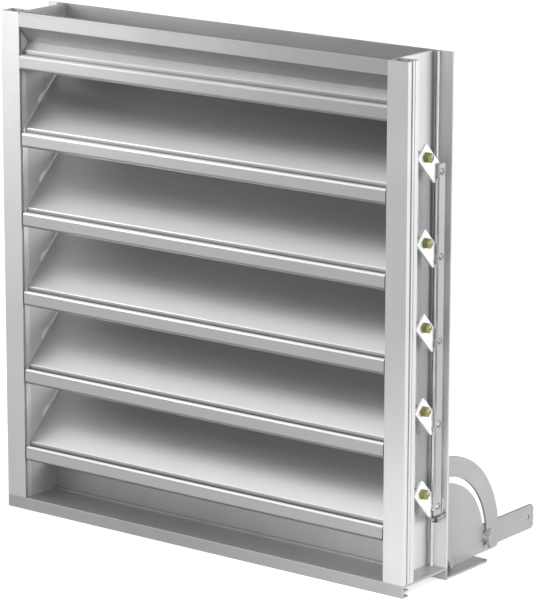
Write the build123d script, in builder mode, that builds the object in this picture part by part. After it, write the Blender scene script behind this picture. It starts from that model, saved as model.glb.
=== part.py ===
from build123d import *
from math import atan2, cos, degrees, hypot, radians, sin
import os

os.makedirs("parts", exist_ok=True)

# Adjustable blade louver: an aluminium frame with linked blades and a hand quadrant.
# +X is to the right, +Z is up and the front looks along -Y. Profiles are drawn with depth
# measured back from the front face and height measured up from the foot of the sill.

# Frame
frame_width = 680.0
frame_depth = 101.6
jamb_height = 687.0
jamb_width = 32.0
wall = 3.0
sill_drop = 17.0
jamb_box_depth = 24.0
bend_radius = 1.0

# Jamb details
lip_depth = 7.3
caulk_groove = 3.4
caulk_groove_depth = 5.0
score_start = 14.7
score_width = 1.2
score_depth = 1.0
inner_groove_start = 1.5
inner_groove_end = 6.3
inner_groove_depth = 4.0
shoulder_end = 14.0
shoulder_rise = 1.5
port_radius = 3.4
port_bore = 1.9
port_gap = 2.2
port_sink = 0.6
port_inset = 9.7
box_port_inset = 14.4

# Head and sill details
head_face = 19.8
head_slope = 22.7
head_recess = 18.0
head_gutter_depth = 9.0
head_gutter_fall = 10.5
head_return = 8.0
head_rebate = 2.2
head_rebate_depth = 1.4
head_stop_depth = 48.0
head_stop_flange = 16.0
head_stop_reach = 41.5
sill_hook_depth = 12.0
sill_hook_wall = 2.2
sill_hook_height = 8.0
sill_stop_depth = 65.0
sill_stop_height = 46.0
sill_stop_flange = 8.0
sill_stop_lip = 7.5
stop_wall = 2.5

# Blades
blade_count = 5
first_pivot = 128.0
top_pivot_drop = 87.5
pivot_depth = 53.0
blade_angle = 44.0
blade_swing = 36.0
blade_sheet = 2.2
blade_bend = 2.4
blade_end_gap = 2.0
blade_rear_reach = 50.0
blade_front_reach = 53.5
blade_lip_height = 21.7
gutter_width = 5.2
gutter_depth = 24.4
boss_radius = 9.4
rear_bead = 1.8
lip_return = 2.0
lip_return_angle = 45.0

# Axles and bearings
hex_size = 12.7
hex_gap = 0.05
axle_grip_length = 90.0
axle_stub_end = 6.0
axle_slot = 2.8
axle_slot_depth = 2.5
axle_slot_reach = 8.9
bearing_flange_radius = 14.6
bearing_flange = 1.2
bearing_radius = 10.0
bearing_lip = 0.8
bearing_length = 3.0
face_gap = 0.1
running_gap = 0.05

# Cranks and link bar
crank_width = 25.4
crank_end = 12.7
crank_tail = 4.6
crank_thickness = 3.0
crank_reach = 35.4
crank_hole_offset = 3.9
crank_angle = -45.0
crank_inset = 8.1
crank_corner = 1.5
axle_inset = 0.6
spacer_thickness = 2.9
spacer_radius = 5.5
bar_width = 12.7
bar_thickness = 3.2
bar_top_end = 11.0
bar_bottom_end = 11.9
pin_radius = 3.0
pin_head_radius = 5.0
pin_head = 1.9
pin_collar = 1.5
pin_collar_radius = 4.2
pin_recess_radius = 1.8
pin_recess_depth = 1.3
head_taper = 20.0

# Rod swivel and drive rod
swivel_width = 12.6
swivel_height = 10.0
swivel_gap = 0.3
swivel_corner = 3.0
swivel_tongue = 5.6
swivel_screw_radius = 3.7
swivel_screw_slot = 1.4
rod_radius = 2.0
rod_inset = 5.1
rod_rise = 4.6
rod_front_end = 8.0
rod_rear_gap = 9.6
rod_bend = 5.0
rod_slot_gap = 0.9

# Hand quadrant
quadrant_back = 22.4
quadrant_height = 24.0
quadrant_radius = 132.4
quadrant_thickness = 3.0
quadrant_inset = 24.0
quadrant_slot_radius = 100.3
quadrant_slot_width = 9.2
quadrant_slot_start = -4.0
quadrant_slot_end = 96.0
quadrant_lower_edge = 4.0
quadrant_corner = 7.0
base_length = 98.4
base_corner = 5.0
base_side_gap = 1.0
tab_bottom = 117.0
tab_height = 36.0
tab_screw_inset = 9.0

# Hand lever, its shaft and the drive arm
lever_length = 223.0
lever_width = 34.0
lever_thickness = 3.0
lever_gap = 0.3
lever_corner = 6.0
lever_hole_radius = 3.2
lever_hole_inset = 12.3
lever_swing = 78.0
shaft_radius = 4.0
shaft_head_radius = 7.0
shaft_head = 2.2
arm_gap = 1.0
arm_thickness = 3.0
arm_end_radius = 5.0
arm_hub_radius = 8.0
arm_pin_radius = 2.4
arm_collar_radius = 4.1
drop_gap = 1.0
drop_thickness = 3.0
drop_width = 8.0
drop_eye_gap = 2.4
drop_eye_wall = 3.0
clamp_radius = 3.95
clamp_head_radius = 7.5
clamp_head = 3.6
clamp_length = 9.0
washer_radius = 7.6
washer_thickness = 1.2
wing_hub_radius = 6.0
wing_hub_length = 5.5
wing_hub_taper = 6.0
wing_reach = 12.5
wing_height = 9.0
wing_low_edge = 3.6
wing_root_radius = 7.8
wing_root_height = 7.0
wing_thickness = 2.6

# Screws
screw_head_radius = 2.7
screw_head = 2.4
screw_grip = 20.0
tab_screw_radius = 2.4
tab_screw_head_radius = 4.6
fixed_gap = 0.02

# Places worked out from the sizes above
half_width = frame_width / 2
web_face = half_width - jamb_width
total_height = sill_drop + jamb_height
quadrant_depth = frame_depth + quadrant_back
lever_tip = quadrant_depth + lever_length
front = -lever_tip / 2
head_web = total_height - head_face - head_slope
blade_pitch = (head_web - top_pivot_drop - first_pivot) / (blade_count - 1)
pivot_heights = [first_pivot + blade_pitch * i for i in reversed(range(blade_count))]
blade_end = web_face - blade_end_gap
axle_end = half_width - axle_inset
crank_outer = half_width - crank_inset
crank_inner = crank_outer - crank_thickness
bar_inner = crank_outer + spacer_thickness
bar_outer = bar_inner + bar_thickness
crank_radius = hypot(crank_reach, crank_hole_offset)
link_angle = crank_angle + degrees(atan2(crank_hole_offset, crank_reach))
pin_depth = pivot_depth + crank_radius * cos(radians(link_angle))
pin_drop = crank_radius * sin(radians(link_angle))
pin_heights = [z + pin_drop for z in pivot_heights]
bar_bottom = pin_heights[-1] - bar_bottom_end
bar_top = pin_heights[0] + bar_top_end
bar_lift = crank_radius * sin(radians(link_angle + blade_swing)) - pin_drop
swivel_bottom = bar_bottom - swivel_height
rod_height = swivel_bottom + rod_rise
rod_line = half_width - rod_inset
rod_bend_depth = frame_depth + rod_rear_gap
plate_inner = half_width - quadrant_inset - quadrant_thickness
plate_outer = plate_inner + quadrant_thickness
lever_outer = plate_inner - lever_gap
lever_inner = lever_outer - lever_thickness
arm_inner = plate_outer + arm_gap
arm_outer = arm_inner + arm_thickness
drop_inner = arm_outer + drop_gap
drop_outer = drop_inner + drop_thickness
# The arm's end and the link bar move by the same chord, so the drop link keeps its slope.
arm_radius = crank_radius * sin(radians(blade_swing / 2)) / sin(radians(lever_swing / 2))
arm_angle = link_angle + (blade_swing - lever_swing) / 2
arm_depth = quadrant_depth + arm_radius * cos(radians(arm_angle))
arm_height = quadrant_height + arm_radius * sin(radians(arm_angle))
clamp_depth = quadrant_depth + quadrant_slot_radius


def side_plane(x):
    """Plane across the louver at x: depth to the rear, height up, extrusions run to +X."""
    return Plane(origin=(x, front, 0), x_dir=(0, 1, 0), z_dir=(1, 0, 0))


def plan_plane(z):
    """Level plane at height z: x to the right, depth to the rear, extrusions run up."""
    return Plane(origin=(0, front, z), x_dir=(1, 0, 0), z_dir=(0, 0, 1))


def rear_plane(depth):
    """Upright plane facing the rear: x to the left, height up, extrusions run to +Y."""
    return Plane(origin=(0, front + depth, 0), x_dir=(-1, 0, 0), z_dir=(0, 1, 0))


def polar(depth, height, radius, angle):
    """Point at a radius and angle from a centre in a side plane."""
    return (depth + radius * cos(radians(angle)), height + radius * sin(radians(angle)))


def polygon_face(*points, mode=Mode.ADD):
    """Closed straight-sided face in the current sketch."""
    with BuildLine() as outline:
        Polyline(*points, close=True)
    make_face(outline.edges(), mode=mode)


def sheet_face(points, thickness, side, radius=bend_radius):
    """Bent sheet of even thickness along one of its surfaces in the current sketch."""
    with BuildLine() as outline:
        FilletPolyline(*points, radius=radius)
        offset(amount=thickness, side=side)
    make_face(outline.edges())


def box_face(low, high, mode=Mode.ADD):
    """Rectangle between two corners in the current sketch."""
    centre = ((low[0] + high[0]) / 2, (low[1] + high[1]) / 2)
    with Locations(centre):
        Rectangle(high[0] - low[0], high[1] - low[1], mode=mode)


def lip_points(depth, low, high):
    """Path of an upright gutter lip whose top leans back to a nose at the height high."""
    lean = radians(lip_return_angle)
    nose = high - blade_sheet * sin(lean)
    return [(depth, low), (depth, nose - lip_return), (depth + lip_return, nose)]


def save(builder, name):
    """Label a finished piece and write it to its own file."""
    builder.part.label = name
    export_step(builder.part, f"parts/{name}.step")


# Jambs
def make_jamb(side):
    """Extruded jamb, side +1 on the right and -1 on the left, standing on the sill."""
    inner = web_face
    groove_floor = half_width - caulk_groove_depth
    groove_end = lip_depth + caulk_groove
    port_x = inner + port_inset
    box_port = (side * (inner + box_port_inset), jamb_box_depth - wall - port_radius + port_sink)
    rear_port_depth = frame_depth - wall - port_radius + port_sink

    def at(x, depth):
        return (side * x, depth)

    with BuildPart() as jamb:
        with BuildSketch(plan_plane(sill_drop)):
            polygon_face(
                at(inner, 0),
                at(half_width, 0),
                at(half_width, lip_depth),
                at(groove_floor, lip_depth),
                at(groove_floor, groove_end),
                at(half_width, groove_end),
                at(half_width, score_start),
                at(half_width - score_depth, score_start),
                at(half_width - score_depth, score_start + score_width),
                at(half_width, score_start + score_width),
                at(half_width, jamb_box_depth),
                at(inner + wall, jamb_box_depth),
                at(inner + wall, frame_depth - wall),
                at(half_width, frame_depth - wall),
                at(half_width, frame_depth),
                at(inner, frame_depth),
                at(inner, shoulder_end),
                at(inner + shoulder_rise, inner_groove_end),
                at(inner + inner_groove_depth, inner_groove_end),
                at(inner + inner_groove_depth, inner_groove_start),
                at(inner, inner_groove_start),
            )
            polygon_face(
                at(inner + inner_groove_depth + wall, wall),
                at(groove_floor - wall, wall),
                at(groove_floor - wall, groove_end + wall),
                at(half_width - score_depth - wall, groove_end + wall),
                at(half_width - score_depth - wall, jamb_box_depth - wall),
                at(inner + wall, jamb_box_depth - wall),
                at(inner + wall, shoulder_end),
                at(inner + inner_groove_depth + wall, inner_groove_end + wall),
                mode=Mode.SUBTRACT,
            )
            with Locations(box_port, at(port_x, rear_port_depth)):
                Circle(port_radius)
            with Locations(box_port, at(port_x, rear_port_depth)):
                Circle(port_bore, mode=Mode.SUBTRACT)
            with Locations(at(port_x, rear_port_depth - port_radius)):
                Rectangle(port_gap, 2 * port_radius, mode=Mode.SUBTRACT)
        extrude(amount=jamb_height)
        with BuildSketch(side_plane(side * inner)):
            with Locations(*[(pivot_depth, z) for z in pivot_heights]):
                Circle(bearing_radius + running_gap)
        extrude(amount=side * wall, mode=Mode.SUBTRACT)
        if side > 0:
            with BuildSketch(rear_plane(frame_depth)):
                low = rod_height - rod_radius - rod_slot_gap
                high = rod_height + bar_lift + rod_radius + rod_slot_gap
                half_slot = rod_radius + rod_slot_gap
                box_face((-rod_line - half_slot, low), (half_slot - rod_line, high))
                with Locations(*tab_screw_places):
                    Circle(tab_screw_radius + fixed_gap)
            extrude(amount=-wall, mode=Mode.SUBTRACT)
    return jamb, [box_port, at(port_x, rear_port_depth)]


tab_outer = half_width - base_side_gap
tab_screw_x = (plate_outer + tab_outer) / 2
tab_screw_places = [
    (-tab_screw_x, tab_bottom + tab_screw_inset),
    (-tab_screw_x, tab_bottom + tab_height - tab_screw_inset),
]

right_jamb, right_ports = make_jamb(1)
save(right_jamb, "right_jamb")
left_jamb, left_ports = make_jamb(-1)
save(left_jamb, "left_jamb")

# Head: face flange, recessed slope, web and rear flange, with a rain gutter in front
with BuildPart() as head:
    with BuildSketch(side_plane(-web_face)):
        slope_top = total_height - head_face
        sheet_face(
            [
                (head_return, total_height),
                (0, total_height),
                (0, slope_top),
                (head_recess, head_web),
                (frame_depth, head_web),
                (frame_depth, total_height),
            ],
            wall,
            Side.LEFT,
        )
        gutter_bend = head_web - head_gutter_fall
        gutter_floor = gutter_bend - gutter_depth
        sheet_face(
            [
                (head_recess + wall, head_web + wall),
                (head_gutter_depth, gutter_bend),
                (head_gutter_depth, gutter_floor),
                *lip_points(blade_sheet, gutter_floor, gutter_floor - blade_sheet + blade_lip_height),
            ],
            blade_sheet,
            Side.LEFT,
            radius=blade_bend,
        )
        rebate_low = total_height - head_rebate
        box_face((0, rebate_low), (head_rebate_depth, total_height), mode=Mode.SUBTRACT)
    extrude(amount=2 * web_face)
save(head, "head")

# Head stop: an angle under the head's web that the top blade closes on
with BuildPart() as head_stop:
    with BuildSketch(side_plane(-web_face)):
        sheet_face(
            [
                (head_stop_depth + head_stop_flange, head_web),
                (head_stop_depth, head_web),
                (head_stop_depth, head_web - head_stop_reach),
            ],
            stop_wall,
            Side.LEFT,
        )
    extrude(amount=2 * web_face)
save(head_stop, "head_stop")

# Sill: floor with a front and a rear flange, and a hook pocket behind the front flange
with BuildPart() as sill:
    with BuildSketch(side_plane(-half_width)):
        sheet_face(
            [(0, 0), (0, sill_drop), (frame_depth, sill_drop), (frame_depth, 0)],
            wall,
            Side.RIGHT,
        )
        box_face((wall / 2, 0), (sill_hook_depth, sill_hook_wall))
        box_face((wall / 2, sill_hook_height), (sill_hook_depth, sill_hook_height + sill_hook_wall))
    extrude(amount=frame_width)
    with BuildSketch(plan_plane(sill_drop)):
        with Locations(*right_ports, *left_ports):
            Circle(port_bore + fixed_gap)
    extrude(amount=-wall, mode=Mode.SUBTRACT)
save(sill, "sill")

# Sill stop: a bent wall on the sill's floor that the lowest blade closes on
with BuildPart() as sill_stop:
    with BuildSketch(side_plane(-web_face)):
        hook_front = pivot_depth - stop_wall / 2
        stop_top = sill_drop + sill_stop_height
        sheet_face(
            [
                (sill_stop_depth - sill_stop_flange + stop_wall, sill_drop),
                (sill_stop_depth + stop_wall, sill_drop),
                (sill_stop_depth + stop_wall, stop_top),
                (hook_front, stop_top),
                (hook_front, stop_top - sill_stop_lip),
            ],
            stop_wall,
            Side.LEFT,
        )
    extrude(amount=2 * web_face)
save(sill_stop, "sill_stop")

# Frame screws: up through the sill into the jambs' screw ports
with BuildPart() as frame_screws:
    with BuildSketch(plan_plane(sill_drop - wall)):
        with Locations(*right_ports, *left_ports):
            Circle(screw_head_radius)
    extrude(amount=-screw_head)
    with BuildSketch(plan_plane(sill_drop - wall)):
        with Locations(*right_ports, *left_ports):
            Circle(port_bore - fixed_gap)
    extrude(amount=screw_grip)
save(frame_screws, "frame_screws")


# Blades
def blade_point(along, above):
    """Point of a blade section, along and square to its slope, relative to the pivot."""
    slope = radians(blade_angle)
    return (along * cos(slope) - above * sin(slope), along * sin(slope) + above * cos(slope))


def make_blade(height):
    """Extruded blade: sloping sheet, front gutter with an upright lip, and an axle boss."""
    def at(point):
        return (pivot_depth + point[0], height + point[1])

    rear = blade_point(blade_rear_reach, boss_radius)
    bend = blade_point(-blade_front_reach, boss_radius)
    floor = bend[1] - gutter_depth
    lip = bend[0] - gutter_width
    lip_top = floor - blade_sheet + blade_lip_height
    with BuildPart() as blade:
        with BuildSketch(side_plane(-blade_end)):
            lip_middle = (floor + lip_top) / 2
            gutter = [rear, bend, (bend[0], floor), (lip, floor), (lip, lip_middle)]
            for path in (gutter, lip_points(lip, lip_middle - blade_sheet, lip_top)):
                sheet_face([at(point) for point in path], blade_sheet, Side.LEFT, radius=blade_bend)
            with Locations(at(blade_point(blade_rear_reach, boss_radius - blade_sheet / 2))):
                Circle(rear_bead)
            with Locations(at((0, 0))):
                Circle(boss_radius)
            with Locations(at((0, 0))):
                RegularPolygon(
                    hex_size / 2 + hex_gap,
                    6,
                    major_radius=False,
                    rotation=blade_angle,
                    mode=Mode.SUBTRACT,
                )
        extrude(amount=2 * blade_end)
    return blade


def make_axle(height, inner_x, outer_x, slotted):
    """Hexagonal axle between two x positions, with a slot across half of its outer end."""
    with BuildPart() as axle:
        with BuildSketch(side_plane(inner_x)):
            with Locations((pivot_depth, height)):
                RegularPolygon(hex_size / 2, 6, major_radius=False, rotation=blade_angle)
        extrude(amount=outer_x - inner_x)
        if slotted:
            with BuildSketch(side_plane(outer_x)):
                middle = polar(pivot_depth, height, axle_slot_reach / 2, blade_angle)
                with Locations(Location((middle[0], middle[1]), blade_angle)):
                    Rectangle(axle_slot_reach, axle_slot)
            extrude(amount=-axle_slot_depth, mode=Mode.SUBTRACT)
    return axle


def make_bearing(height, side):
    """Flanged bush that turns with the axle in the round hole of one jamb."""
    flange_back = side * (web_face - face_gap)
    lip_start = side * (web_face + wall + face_gap)
    bore_length = bearing_flange + wall + 3 * face_gap + bearing_length
    with BuildPart() as bearing:
        with BuildSketch(side_plane(flange_back)):
            with Locations((pivot_depth, height)):
                Circle(bearing_flange_radius)
        extrude(amount=-side * bearing_flange)
        with BuildSketch(side_plane(flange_back)):
            with Locations((pivot_depth, height)):
                Circle(bearing_radius)
        extrude(amount=side * (wall + 2 * face_gap + bearing_length))
        with BuildSketch(side_plane(lip_start)):
            with Locations((pivot_depth, height)):
                Circle(bearing_radius + bearing_lip)
        extrude(amount=side * bearing_length / 2)
        with BuildSketch(side_plane(side * (web_face - bearing_flange - face_gap))):
            with Locations((pivot_depth, height)):
                RegularPolygon(hex_size / 2 + hex_gap, 6, major_radius=False, rotation=blade_angle)
        extrude(amount=side * bore_length, mode=Mode.SUBTRACT)
    return bearing


def make_crank(height):
    """Flat crank on the hexagonal axle, square to the blade, with two holes for its pin."""
    with BuildPart() as crank:
        with BuildSketch(side_plane(crank_inner)):
            middle = (crank_reach + crank_tail - crank_end) / 2
            centre = polar(pivot_depth, height, middle, crank_angle)
            with Locations(Location((centre[0], centre[1]), crank_angle)):
                RectangleRounded(crank_reach + crank_tail + crank_end, crank_width, crank_corner)
            with Locations((pivot_depth, height)):
                RegularPolygon(
                    hex_size / 2 + hex_gap,
                    6,
                    major_radius=False,
                    rotation=blade_angle,
                    mode=Mode.SUBTRACT,
                )
            hole_angles = (link_angle, 2 * crank_angle - link_angle)
            with Locations(*[polar(pivot_depth, height, crank_radius, a) for a in hole_angles]):
                Circle(pin_radius + running_gap, mode=Mode.SUBTRACT)
        extrude(amount=crank_thickness)
    return crank


for number, height in enumerate(pivot_heights, start=1):
    save(make_blade(height), f"blade_{number}")
    save(make_axle(height, blade_end - axle_grip_length, axle_end, True), f"drive_axle_{number}")
    stub_end = web_face + wall + bearing_length + axle_stub_end
    save(make_axle(height, -stub_end, axle_grip_length - blade_end, False), f"stub_axle_{number}")
    save(make_bearing(height, 1), f"right_bearing_{number}")
    save(make_bearing(height, -1), f"left_bearing_{number}")
    save(make_crank(height), f"crank_{number}")

# Link bar with its spacers and crank pins
with BuildPart() as link_bar:
    with BuildSketch(side_plane(bar_inner)):
        box_face((pin_depth - bar_width / 2, bar_bottom), (pin_depth + bar_width / 2, bar_top))
        with Locations(*[(pin_depth, z) for z in pin_heights]):
            Circle(pin_radius + running_gap, mode=Mode.SUBTRACT)
    extrude(amount=bar_thickness)
save(link_bar, "link_bar")

with BuildPart() as link_spacers:
    with BuildSketch(side_plane(crank_outer + face_gap)):
        with Locations(*[(pin_depth, z) for z in pin_heights]):
            Circle(spacer_radius)
        with Locations(*[(pin_depth, z) for z in pin_heights]):
            Circle(pin_radius + running_gap, mode=Mode.SUBTRACT)
    extrude(amount=spacer_thickness - face_gap)
save(link_spacers, "link_spacers")

with BuildPart() as crank_pins:
    for z in pin_heights:
        with BuildSketch(side_plane(crank_inner - face_gap - pin_collar)):
            with Locations((pin_depth, z)):
                Circle(pin_radius)
        extrude(amount=bar_outer - crank_inner + face_gap + pin_collar)
        with BuildSketch(side_plane(crank_inner - face_gap - pin_collar)):
            with Locations((pin_depth, z)):
                Circle(pin_collar_radius)
        extrude(amount=pin_collar)
        with BuildSketch(side_plane(bar_outer)):
            with Locations((pin_depth, z)):
                Circle(pin_head_radius)
        extrude(amount=pin_head, taper=head_taper)
        with BuildSketch(side_plane(bar_outer + pin_head)):
            with Locations((pin_depth, z)):
                RegularPolygon(pin_recess_radius, 6)
        extrude(amount=-pin_recess_depth, mode=Mode.SUBTRACT)
save(crank_pins, "crank_pins")

# Swivel block at the foot of the link bar, its clamp screw and the drive rod
with BuildPart() as rod_swivel:
    side_low = pin_depth - swivel_width / 2
    side_high = pin_depth + swivel_width / 2
    swivel_inner = crank_outer + swivel_gap
    with BuildSketch(side_plane(swivel_inner)) as swivel_profile:
        box_face((side_low, swivel_bottom), (side_high, bar_bottom - swivel_gap))
        fillet(swivel_profile.vertices().group_by(Axis.Y)[0], radius=swivel_corner)
    extrude(amount=bar_outer - swivel_inner)
    with BuildSketch(side_plane(swivel_inner)):
        box_face((side_low, rod_height), (side_high, bar_bottom + swivel_tongue))
    extrude(amount=bar_inner - swivel_inner)
    with BuildSketch(side_plane(bar_outer)):
        with Locations((pin_depth, rod_height)):
            Circle(pin_radius + fixed_gap)
    extrude(amount=rod_line + rod_radius - bar_outer, mode=Mode.SUBTRACT)
    with BuildSketch(rear_plane(pin_depth)):
        with Locations((-rod_line, rod_height)):
            Circle(rod_radius + fixed_gap)
    extrude(amount=swivel_width, both=True, mode=Mode.SUBTRACT)
save(rod_swivel, "rod_swivel")

with BuildPart() as swivel_screw:
    with BuildSketch(side_plane(bar_outer)):
        with Locations((pin_depth, rod_height)):
            Circle(swivel_screw_radius)
    extrude(amount=pin_head)
    with BuildSketch(side_plane(bar_outer)):
        with Locations((pin_depth, rod_height)):
            Circle(pin_radius)
    extrude(amount=rod_line + rod_radius + fixed_gap - bar_outer)
    with BuildSketch(side_plane(bar_outer + pin_head)):
        with Locations((pin_depth, rod_height)):
            Rectangle(2 * swivel_screw_radius, swivel_screw_slot)
    extrude(amount=-pin_head / 2, mode=Mode.SUBTRACT)
save(swivel_screw, "swivel_screw")

with BuildPart() as drive_rod:
    rod_start = pin_depth - rod_front_end
    rod_tip = drop_inner - rod_slot_gap
    with BuildLine() as rod_path:
        FilletPolyline(
            (rod_line, front + rod_start, rod_height),
            (rod_line, front + rod_bend_depth, rod_height),
            (rod_tip, front + rod_bend_depth, rod_height),
            radius=rod_bend,
        )
    with BuildSketch(rear_plane(rod_start)):
        with Locations((-rod_line, rod_height)):
            Circle(rod_radius)
    sweep(path=rod_path.wires()[0])
save(drive_rod, "drive_rod")

# Quadrant bracket: upright plate with an arc slot, a foot and a tab bent to the jamb
with BuildPart() as quadrant_bracket:
    with BuildSketch(side_plane(plate_inner)) as quadrant_profile:
        base_end = frame_depth + base_length
        tail_end = quadrant_depth + quadrant_radius
        arc_start = (tail_end, quadrant_height)
        arc_rise = (quadrant_radius**2 - (quadrant_depth - frame_depth) ** 2) ** 0.5
        arc_end = (frame_depth, quadrant_height + arc_rise)
        slot_middle = (quadrant_slot_start + quadrant_slot_end) / 2
        arc_middle = polar(quadrant_depth, quadrant_height, quadrant_radius, slot_middle)
        with BuildLine():
            Polyline(
                arc_end,
                (frame_depth, 0),
                (base_end, 0),
                (base_end, quadrant_lower_edge),
                (tail_end, quadrant_lower_edge),
                arc_start,
            )
            ThreePointArc(arc_start, arc_middle, arc_end)
        make_face()
        tail_corner = quadrant_profile.vertices().group_by(Axis.X)[-1].sort_by(Axis.Y)[0]
        fillet(tail_corner, radius=quadrant_corner)
        with BuildLine() as slot_line:
            CenterArc(
                (quadrant_depth, quadrant_height),
                quadrant_slot_radius,
                quadrant_slot_start,
                quadrant_slot_end - quadrant_slot_start,
            )
        SlotArc(slot_line.edges()[0], quadrant_slot_width, mode=Mode.SUBTRACT)
        with Locations((quadrant_depth, quadrant_height)):
            Circle(shaft_radius + running_gap, mode=Mode.SUBTRACT)
    extrude(amount=quadrant_thickness)
    with BuildSketch(plan_plane(0)) as base_profile:
        box_face((plate_inner, frame_depth), (tab_outer, base_end))
        outer_corner = base_profile.vertices().group_by(Axis.Y)[-1].sort_by(Axis.X)[-1]
        fillet(outer_corner, radius=base_corner)
    extrude(amount=quadrant_thickness)
    with BuildSketch(rear_plane(frame_depth)):
        box_face((-tab_outer, tab_bottom), (-plate_inner, tab_bottom + tab_height))
        with Locations(*tab_screw_places):
            Circle(tab_screw_radius + fixed_gap, mode=Mode.SUBTRACT)
    extrude(amount=quadrant_thickness)
save(quadrant_bracket, "quadrant_bracket")

with BuildPart() as bracket_screws:
    with BuildSketch(rear_plane(frame_depth + quadrant_thickness)):
        with Locations(*tab_screw_places):
            Circle(tab_screw_head_radius)
    extrude(amount=screw_head, taper=head_taper)
    with BuildSketch(rear_plane(frame_depth + quadrant_thickness)):
        with Locations(*tab_screw_places):
            Circle(tab_screw_radius - fixed_gap)
    extrude(amount=-(quadrant_thickness + wall + screw_head))
save(bracket_screws, "bracket_screws")

# Hand lever behind the quadrant plate, its shaft, drive arm and clamp bolt
with BuildPart() as hand_lever:
    with BuildSketch(side_plane(lever_inner)) as lever_profile:
        box_face(
            (quadrant_depth, quadrant_height - lever_width / 2),
            (lever_tip, quadrant_height + lever_width / 2),
        )
        tip_corners = lever_profile.vertices().group_by(Axis.X)[-1]
        fillet(tip_corners, radius=lever_corner)
        with Locations((quadrant_depth, quadrant_height)):
            Circle(lever_width / 2)
        with Locations((quadrant_depth, quadrant_height)):
            Circle(shaft_radius + fixed_gap, mode=Mode.SUBTRACT)
        with Locations((clamp_depth, quadrant_height)):
            Circle(clamp_radius + fixed_gap, mode=Mode.SUBTRACT)
        with Locations((lever_tip - lever_hole_inset, quadrant_height)):
            Circle(lever_hole_radius, mode=Mode.SUBTRACT)
    extrude(amount=lever_thickness)
save(hand_lever, "hand_lever")

with BuildPart() as lever_shaft:
    with BuildSketch(side_plane(lever_inner)):
        with Locations((quadrant_depth, quadrant_height)):
            Circle(shaft_head_radius)
    extrude(amount=-shaft_head, taper=head_taper)
    with BuildSketch(side_plane(lever_inner)):
        with Locations((quadrant_depth, quadrant_height)):
            Circle(shaft_radius)
    extrude(amount=arm_outer - lever_inner)
save(lever_shaft, "lever_shaft")

with BuildPart() as drive_arm:
    with BuildSketch(side_plane(arm_inner)):
        with BuildLine():
            Line((quadrant_depth, quadrant_height), (arm_depth, arm_height))
        trace(line_width=2 * arm_end_radius)
        with Locations((quadrant_depth, quadrant_height)):
            Circle(arm_hub_radius)
        with Locations((arm_depth, arm_height)):
            Circle(arm_end_radius)
        with Locations((quadrant_depth, quadrant_height)):
            Circle(shaft_radius + fixed_gap, mode=Mode.SUBTRACT)
        with Locations((arm_depth, arm_height)):
            Circle(arm_pin_radius + fixed_gap, mode=Mode.SUBTRACT)
    extrude(amount=arm_thickness)
save(drive_arm, "drive_arm")

with BuildPart() as arm_pin:
    with BuildSketch(side_plane(arm_inner)):
        with Locations((arm_depth, arm_height)):
            Circle(arm_pin_radius)
    extrude(amount=drop_outer + face_gap - arm_inner)
    with BuildSketch(side_plane(drop_outer + face_gap)):
        with Locations((arm_depth, arm_height)):
            Circle(arm_collar_radius)
    extrude(amount=pin_collar)
save(arm_pin, "arm_pin")

# Drop link from the drive rod down to the drive arm
with BuildPart() as drop_link:
    with BuildSketch(side_plane(drop_inner)):
        eye_bore = rod_radius + drop_eye_gap
        with BuildLine():
            Line((rod_bend_depth, rod_height), (arm_depth, arm_height))
        trace(line_width=drop_width)
        with Locations((rod_bend_depth, rod_height)):
            Circle(eye_bore + drop_eye_wall)
        with Locations((arm_depth, arm_height)):
            Circle(arm_end_radius)
        with Locations((rod_bend_depth, rod_height)):
            Circle(eye_bore, mode=Mode.SUBTRACT)
        with Locations((arm_depth, arm_height)):
            Circle(arm_pin_radius + running_gap, mode=Mode.SUBTRACT)
    extrude(amount=drop_thickness)
save(drop_link, "drop_link")

with BuildPart() as clamp_bolt:
    with BuildSketch(side_plane(lever_inner)):
        with Locations((clamp_depth, quadrant_height)):
            Circle(clamp_head_radius)
    extrude(amount=-clamp_head, taper=head_taper)
    with BuildSketch(side_plane(lever_inner)):
        with Locations((clamp_depth, quadrant_height)):
            Circle(clamp_radius)
    extrude(amount=plate_outer - lever_inner + clamp_length)
save(clamp_bolt, "clamp_bolt")

with BuildPart() as clamp_washer:
    with BuildSketch(side_plane(plate_outer + face_gap)):
        with Locations((clamp_depth, quadrant_height)):
            Circle(washer_radius)
            Circle(clamp_radius + running_gap, mode=Mode.SUBTRACT)
    extrude(amount=washer_thickness)
save(clamp_washer, "clamp_washer")

# Wing nut on the clamp bolt
with BuildPart() as wing_nut:
    nut_face = plate_outer + washer_thickness + 2 * face_gap
    with BuildSketch(side_plane(nut_face)):
        with Locations((clamp_depth, quadrant_height)):
            Circle(wing_hub_radius)
    extrude(amount=wing_hub_length, taper=wing_hub_taper)
    wing_plane = Plane(
        origin=(nut_face, front + clamp_depth, quadrant_height),
        x_dir=(0, 0, 1),
        z_dir=(0, 1, 0),
    )
    with BuildSketch(wing_plane):
        with BuildLine():
            wing_tip = (wing_reach, wing_low_edge)
            wing_root = (wing_root_radius, wing_root_height)
            Polyline((0, 0), (wing_hub_radius, 0), wing_tip)
            ThreePointArc(wing_tip, ((wing_reach + wing_root_radius) / 2, wing_height), wing_root)
            Polyline(wing_root, (0, wing_hub_length / 2), (0, 0))
        make_face()
        mirror(about=Plane.YZ)
    extrude(amount=wing_thickness / 2, both=True)
    with BuildSketch(side_plane(nut_face)):
        with Locations((clamp_depth, quadrant_height)):
            Circle(clamp_radius + running_gap)
    extrude(amount=2 * wing_height, mode=Mode.SUBTRACT)
save(wing_nut, "wing_nut")
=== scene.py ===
import math

import bpy
from mathutils import Matrix, Vector


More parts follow.
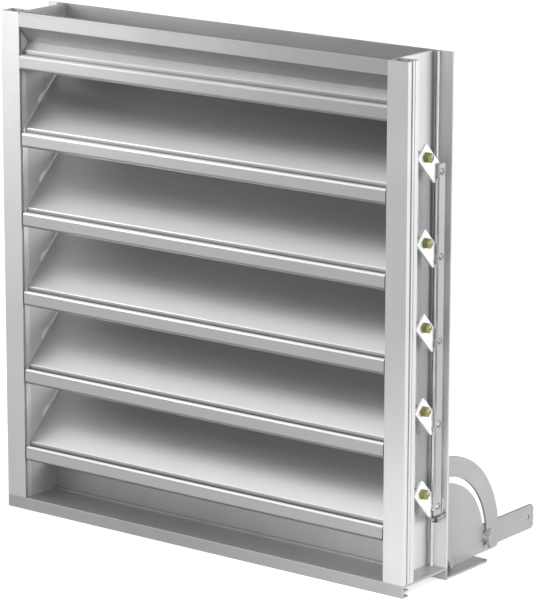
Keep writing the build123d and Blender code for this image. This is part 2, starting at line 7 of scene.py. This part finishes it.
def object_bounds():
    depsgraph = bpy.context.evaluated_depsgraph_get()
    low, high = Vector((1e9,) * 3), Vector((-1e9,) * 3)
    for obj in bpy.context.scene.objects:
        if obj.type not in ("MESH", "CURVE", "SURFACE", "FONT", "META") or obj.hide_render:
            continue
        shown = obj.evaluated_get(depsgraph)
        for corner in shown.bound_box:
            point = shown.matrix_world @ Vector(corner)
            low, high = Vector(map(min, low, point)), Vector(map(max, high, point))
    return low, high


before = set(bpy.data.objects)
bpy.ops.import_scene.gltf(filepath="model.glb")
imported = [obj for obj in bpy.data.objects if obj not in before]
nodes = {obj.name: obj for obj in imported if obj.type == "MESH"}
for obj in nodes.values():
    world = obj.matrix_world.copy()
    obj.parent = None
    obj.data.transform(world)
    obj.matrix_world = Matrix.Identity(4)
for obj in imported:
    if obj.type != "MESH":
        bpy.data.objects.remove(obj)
cad_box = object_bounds()

# Camera at the photograph's angle, in metres from the part's origin, with its lens and sensor in millimetres
CAMERA_PLACE = Vector((2.8852, -3.7781, 1.4685))
CAMERA_FORWARD = Vector((-0.5917, 0.7707, -0.2358))
CAMERA_ROLL = math.radians(0.09)
CAMERA_REACH = 200.0
CAMERA_LENS = 214.46
CAMERA_SENSOR = 36.0

# Floor, in metres
FLOOR_SIZE = 60.0
FLOOR_COLOR = (0.86, 0.86, 0.86, 1)
FLOOR_GLOW = 0.65
FLOOR_ROUGHNESS = 0.9

# Brightness of the surround from straight up to straight down, and how much of it the blue channel gets
SKY_TOP = 1.25
SKY_BAND = 1.5
SKY_HORIZON = 0.25
SKY_BELOW = 0.9
SKY_BOTTOM = 0.25
SKY_BLUE = 1.01
# Where each brightness lies, from 0 straight down to 1 straight up
SKY_STOPS = [
    (0.2, SKY_BOTTOM),
    (0.32, SKY_BELOW),
    (0.42, SKY_BELOW),
    (0.49, SKY_HORIZON),
    (0.58, SKY_HORIZON),
    (0.63, SKY_BAND),
    (0.68, SKY_BAND),
    (0.75, SKY_TOP),
]
# Way to the surround's front, its share of that brightness at the rear and at the front, and the cosines
# from the front between which the share changes
SKY_FRONT = (-0.6, -0.8, 0.0)
SKY_SHARE = (0.14, 1.0)
SKY_COSINES = (-0.3, 0.6)
# Way to a panel behind the part on the right, which its right side mirrors to the camera, the panel's glow
# at the rim and in the middle, and the cosines from the middle between which the glow changes
PANEL_WAY = (0.59, 0.77, -0.24)
PANEL_GLOW = (0.0, 0.7)
PANEL_COSINES = (0.45, 0.92)
PANEL_COLOR = (1, 1, 1, 1)

# Lights: name, place, target, width and height in metres, power in watts, spread in degrees
LIGHTS = [
    ("key", (-2.2, -2.6, 3.4), (0, 0, 0.3), 2.4, 2.4, 18, 180),
    ("side", (3.2, 0.4, 0.7), (0.33, -0.1, 0.3), 2.6, 0.8, 78, 180),
    ("low_right", (0.52, -0.65, 0.15), (0.33, -0.17, 0.03), 0.26, 0.26, 0.33, 56),
    ("high_left", (-0.7, -0.85, 0.75), (-0.33, -0.17, 0.6), 0.35, 0.35, 0.38, 64),
]

# Slot in the outer end of each drive axle, whose faces get a painted highlight, in metres
BLADE_SLOPE = math.radians(44)
SLOT_DEPTH = 0.0026
SLOT_HALF_WIDTH = 0.0015
EDGE_MARGIN = 0.0001

# Surface scales, in features per metre, and the detail of their noise
GRAIN_FINE = 900.0
GRAIN_LONG = 6.0
MOTTLE = 14.0
SPECK = 420.0
FINE_DETAIL = 4.0
SLOW_DETAIL = 2.0
NOISE_ROUGHNESS = 0.55
# Noise values between which the tone and the roughness change
TONE_RANGE = (0.3, 0.7)
ROUGH_RANGE = (0.25, 0.75)
# Depth of the relief and radius of the softened edges, in metres
RELIEF_DEPTH = 0.0003
EDGE_RADIUS = 0.0006
EDGE_SAMPLES = 4
# What a grey gets on top of its level in red, green and blue
GREY_TINT = (0.0, 0.004, 0.01)


def new_material(name):
    """Node material and its principled shader."""
    material = bpy.data.materials.new(name)
    material.use_nodes = True
    return material, material.node_tree.nodes["Principled BSDF"]


def noise(tree, coords, scale, detail):
    """Noise texture whose scale is a single value or one value for each axis."""
    mapping = tree.nodes.new("ShaderNodeMapping")
    mapping.inputs["Scale"].default_value = scale if isinstance(scale, tuple) else (scale,) * 3
    texture = tree.nodes.new("ShaderNodeTexNoise")
    texture.inputs["Scale"].default_value = 1.0
    texture.inputs["Detail"].default_value = detail
    texture.inputs["Roughness"].default_value = NOISE_ROUGHNESS
    tree.links.new(coords.outputs["Object"], mapping.inputs["Vector"])
    tree.links.new(mapping.outputs["Vector"], texture.inputs["Vector"])
    return texture.outputs["Fac"]


def average(tree, first, second):
    """Mean of two values."""
    total = tree.nodes.new("ShaderNodeMath")
    total.operation = "ADD"
    tree.links.new(first, total.inputs[0])
    tree.links.new(second, total.inputs[1])
    half = tree.nodes.new("ShaderNodeMath")
    half.operation = "MULTIPLY"
    half.inputs[1].default_value = 0.5
    tree.links.new(total.outputs["Value"], half.inputs[0])
    return half.outputs["Value"]


def ramp(tree, value, stops):
    """Colour ramp through stops of a position and a colour, two or more."""
    node = tree.nodes.new("ShaderNodeValToRGB")
    elements = node.color_ramp.elements
    while len(elements) < len(stops):
        elements.new(0.5)
    for element, (place, color) in zip(elements, stops):
        element.position = place
        element.color = color
    tree.links.new(value, node.inputs["Fac"])
    return node.outputs["Color"]


def remap(tree, value, source, target, smooth=False):
    """Value taken from one range to another and held at the ends."""
    node = tree.nodes.new("ShaderNodeMapRange")
    if smooth:
        node.interpolation_type = "SMOOTHSTEP"
    node.inputs["From Min"].default_value, node.inputs["From Max"].default_value = source
    node.inputs["To Min"].default_value, node.inputs["To Max"].default_value = target
    tree.links.new(value, node.inputs["Value"])
    return node.outputs["Result"]


def cosine(tree, direction, way):
    """Cosine of the angle between a direction and a fixed way."""
    node = tree.nodes.new("ShaderNodeVectorMath")
    node.operation = "DOT_PRODUCT"
    node.inputs[1].default_value = Vector(way).normalized()
    tree.links.new(direction, node.inputs[0])
    return node.outputs["Value"]


def grey(level):
    """Near-neutral colour of one level."""
    return tuple(level + tint for tint in GREY_TINT) + (1,)


def scaled(color, factor):
    """Colour with its three channels scaled."""
    return tuple(channel * factor for channel in color[:3]) + (1,)


def metal(name, color, metallic, rough, grain=SPECK, contrast=0.06, bump=0.05):
    """Metal with drawn grain or fine speckle, a slow mottle and softened edges."""
    material, shader = new_material(name)
    tree = material.node_tree
    coords = tree.nodes.new("ShaderNodeTexCoord")
    fine = noise(tree, coords, grain, FINE_DETAIL)
    slow = noise(tree, coords, MOTTLE, SLOW_DETAIL)
    tones = (scaled(color, 1 - contrast), scaled(color, 1 + contrast))
    tone = ramp(tree, average(tree, fine, slow), list(zip(TONE_RANGE, tones)))
    tree.links.new(tone, shader.inputs["Base Color"])
    tree.links.new(remap(tree, fine, ROUGH_RANGE, rough), shader.inputs["Roughness"])
    shader.inputs["Metallic"].default_value = metallic
    rounded = tree.nodes.new("ShaderNodeBevel")
    rounded.samples = EDGE_SAMPLES
    rounded.inputs["Radius"].default_value = EDGE_RADIUS
    relief = tree.nodes.new("ShaderNodeBump")
    relief.inputs["Strength"].default_value = bump
    relief.inputs["Distance"].default_value = RELIEF_DEPTH
    tree.links.new(fine, relief.inputs["Height"])
    tree.links.new(rounded.outputs["Normal"], relief.inputs["Normal"])
    tree.links.new(relief.outputs["Normal"], shader.inputs["Normal"])
    return material


# Finishes: name, colour, metallic share, range of roughness
along_x = (GRAIN_LONG, GRAIN_FINE, GRAIN_FINE)
along_z = (GRAIN_FINE, GRAIN_FINE, GRAIN_LONG)
jamb_metal = metal("jamb_aluminium", grey(0.68), 0.5, (0.4, 0.52), along_z)
level_metal = metal("head_sill_aluminium", grey(0.48), 0.7, (0.4, 0.52), along_x)
blade_metal = metal("blade_aluminium", grey(0.56), 0.94, (0.32, 0.4), along_x, contrast=0.03, bump=0.02)
# Crank plates: bright plating, given a near-white diffuse colour that also paints in the reflection of the
# bright surround
crank_plate_and_reflection = metal("crank_plate_and_painted_reflection", grey(0.92), 0.2, (0.42, 0.54), contrast=0.04, bump=0.02)
axle_metal = metal("olive_plate", (0.26, 0.25, 0.08, 1), 0.5, (0.34, 0.46), contrast=0.18)
zinc_metal = metal("zinc_sheet", grey(0.45), 0.55, (0.38, 0.5), contrast=0.08)
link_metal = metal("link_bar_steel", grey(0.46), 0.55, (0.38, 0.5), along_z)
screw_metal = metal("screw_zinc", grey(0.5), 1.0, (0.18, 0.28), contrast=0.1)
# Swivel: dark plate whose near-black tone also paints in the shade under the link bar's lower end
swivel_metal_and_shade = metal("swivel_plate_and_painted_shade", grey(0.12), 0.8, (0.35, 0.5), contrast=0.2)
# Painted highlight for the faces inside the axle slots, near-white, not the axle's own colour
slot_highlight_finish = metal("axle_slot_painted_highlight", grey(0.95), 0.9, (0.3, 0.4), contrast=0.03)
bush_plastic = metal("bush_nylon", grey(0.95), 0.0, (0.45, 0.6), contrast=0.05)

# Finish by a piece's whole name, or else by how its name starts
FINISHES = {
    "left_jamb": jamb_metal,
    "right_jamb": jamb_metal,
    "head": level_metal,
    "head_stop": level_metal,
    "sill": level_metal,
    "sill_stop": level_metal,
    "quadrant_bracket": zinc_metal,
    "hand_lever": zinc_metal,
    "drive_arm": zinc_metal,
    "drop_link": zinc_metal,
    "arm_pin": zinc_metal,
    "lever_shaft": zinc_metal,
    "clamp_bolt": zinc_metal,
    "clamp_washer": zinc_metal,
    "wing_nut": zinc_metal,
    "bracket_screws": zinc_metal,
    "link_bar": link_metal,
    "drive_rod": link_metal,
    "rod_swivel": swivel_metal_and_shade,
}
PREFIXES = {
    "blade_": blade_metal,
    "drive_axle_": axle_metal,
    "stub_axle_": axle_metal,
    "left_bearing_": bush_plastic,
    "right_bearing_": bush_plastic,
    "crank_pins": screw_metal,
    "crank_": crank_plate_and_reflection,
}


def finish_of(name):
    """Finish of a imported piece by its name."""
    if name in FINISHES:
        return FINISHES[name]
    for prefix, material in PREFIXES.items():
        if name.startswith(prefix):
            return material
    return screw_metal


def paint_highlight_in_slot(piece):
    """Painted highlight: near-white finish on the faces of the slot cut across the outer end of an axle."""
    points = [piece.matrix_world @ vertex.co for vertex in piece.data.vertices]
    end = max(point.x for point in points)
    middle = [(min(p[i] for p in points) + max(p[i] for p in points)) / 2 for i in (1, 2)]
    along = Vector((math.cos(BLADE_SLOPE), math.sin(BLADE_SLOPE)))
    piece.data.materials.append(slot_highlight_finish)
    for face in piece.data.polygons:
        center = piece.matrix_world @ face.center
        offset = Vector((center.y - middle[0], center.z - middle[1]))
        near_end = end - SLOT_DEPTH < center.x < end - EDGE_MARGIN
        in_slot = abs(along.cross(offset)) < SLOT_HALF_WIDTH and along.dot(offset) > -EDGE_MARGIN
        if near_end and in_slot:
            face.material_index = 1


for name, piece in nodes.items():
    piece.data.materials.clear()
    piece.data.materials.append(finish_of(name))
    # Each drive axle gets a painted highlight in its end slot
    if name.startswith("drive_axle_"):
        paint_highlight_in_slot(piece)


# Stage, camera and light
def make_floor():
    """Plain pale floor under the part's feet."""
    mesh = bpy.data.meshes.new("floor")
    reach = FLOOR_SIZE / 2
    level = cad_box[0].z
    corners = [(x * reach, y * reach, level) for x, y in ((-1, -1), (1, -1), (1, 1), (-1, 1))]
    mesh.from_pydata(corners, [], [(0, 1, 2, 3)])
    floor = bpy.data.objects.new("floor", mesh)
    bpy.context.collection.objects.link(floor)
    material, shader = new_material("floor_white")
    shader.inputs["Base Color"].default_value = FLOOR_COLOR
    shader.inputs["Roughness"].default_value = FLOOR_ROUGHNESS
    shader.inputs["Emission Color"].default_value = FLOOR_COLOR
    shader.inputs["Emission Strength"].default_value = FLOOR_GLOW
    mesh.materials.append(material)
    floor.visible_diffuse = False
    floor.visible_glossy = False


def make_world():
    """Studio surround in level bands, dim behind the part but for one soft panel."""
    world = bpy.data.worlds.new("studio")
    bpy.context.scene.world = world
    world.use_nodes = True
    tree = world.node_tree
    direction = tree.nodes.new("ShaderNodeTexCoord").outputs["Generated"]
    axes = tree.nodes.new("ShaderNodeSeparateXYZ")
    tree.links.new(direction, axes.inputs["Vector"])
    height = remap(tree, axes.outputs["Z"], (-1, 1), (0, 1))
    bands = ramp(tree, height, [(place, (level, level, level * SKY_BLUE, 1)) for place, level in SKY_STOPS])
    share = remap(tree, cosine(tree, direction, SKY_FRONT), SKY_COSINES, SKY_SHARE)
    background = tree.nodes["Background"]
    tree.links.new(bands, background.inputs["Color"])
    tree.links.new(share, background.inputs["Strength"])
    glow = remap(tree, cosine(tree, direction, PANEL_WAY), PANEL_COSINES, PANEL_GLOW, smooth=True)
    panel = tree.nodes.new("ShaderNodeBackground")
    panel.inputs["Color"].default_value = PANEL_COLOR
    tree.links.new(glow, panel.inputs["Strength"])
    both = tree.nodes.new("ShaderNodeAddShader")
    tree.links.new(background.outputs["Background"], both.inputs[0])
    tree.links.new(panel.outputs["Background"], both.inputs[1])
    tree.links.new(both.outputs["Shader"], tree.nodes["World Output"].inputs["Surface"])


def make_light(name, place, target, width, height, power, spread):
    """Soft rectangular light that faces a target, with its spread in degrees."""
    data = bpy.data.lights.new(name, "AREA")
    data.shape = "RECTANGLE"
    data.size = width
    data.size_y = height
    data.energy = power
    data.spread = math.radians(spread)
    light = bpy.data.objects.new(name, data)
    bpy.context.collection.objects.link(light)
    light.location = place
    light.rotation_mode = "QUATERNION"
    light.rotation_quaternion = (Vector(target) - Vector(place)).to_track_quat("-Z", "Y")


def make_camera():
    """Camera where the photograph was taken."""
    data = bpy.data.cameras.new("camera")
    data.sensor_width = CAMERA_SENSOR
    data.lens = CAMERA_LENS
    data.clip_end = CAMERA_REACH
    camera = bpy.data.objects.new("camera", data)
    bpy.context.collection.objects.link(camera)
    turn = CAMERA_FORWARD.to_track_quat("-Z", "Y").to_matrix().to_4x4()
    camera.matrix_world = Matrix.Translation(CAMERA_PLACE) @ turn @ Matrix.Rotation(CAMERA_ROLL, 4, "Z")
    bpy.context.scene.camera = camera


make_floor()
make_world()
for light in LIGHTS:
    make_light(*light)
make_camera()
bpy.context.scene.view_settings.view_transform = "Standard"
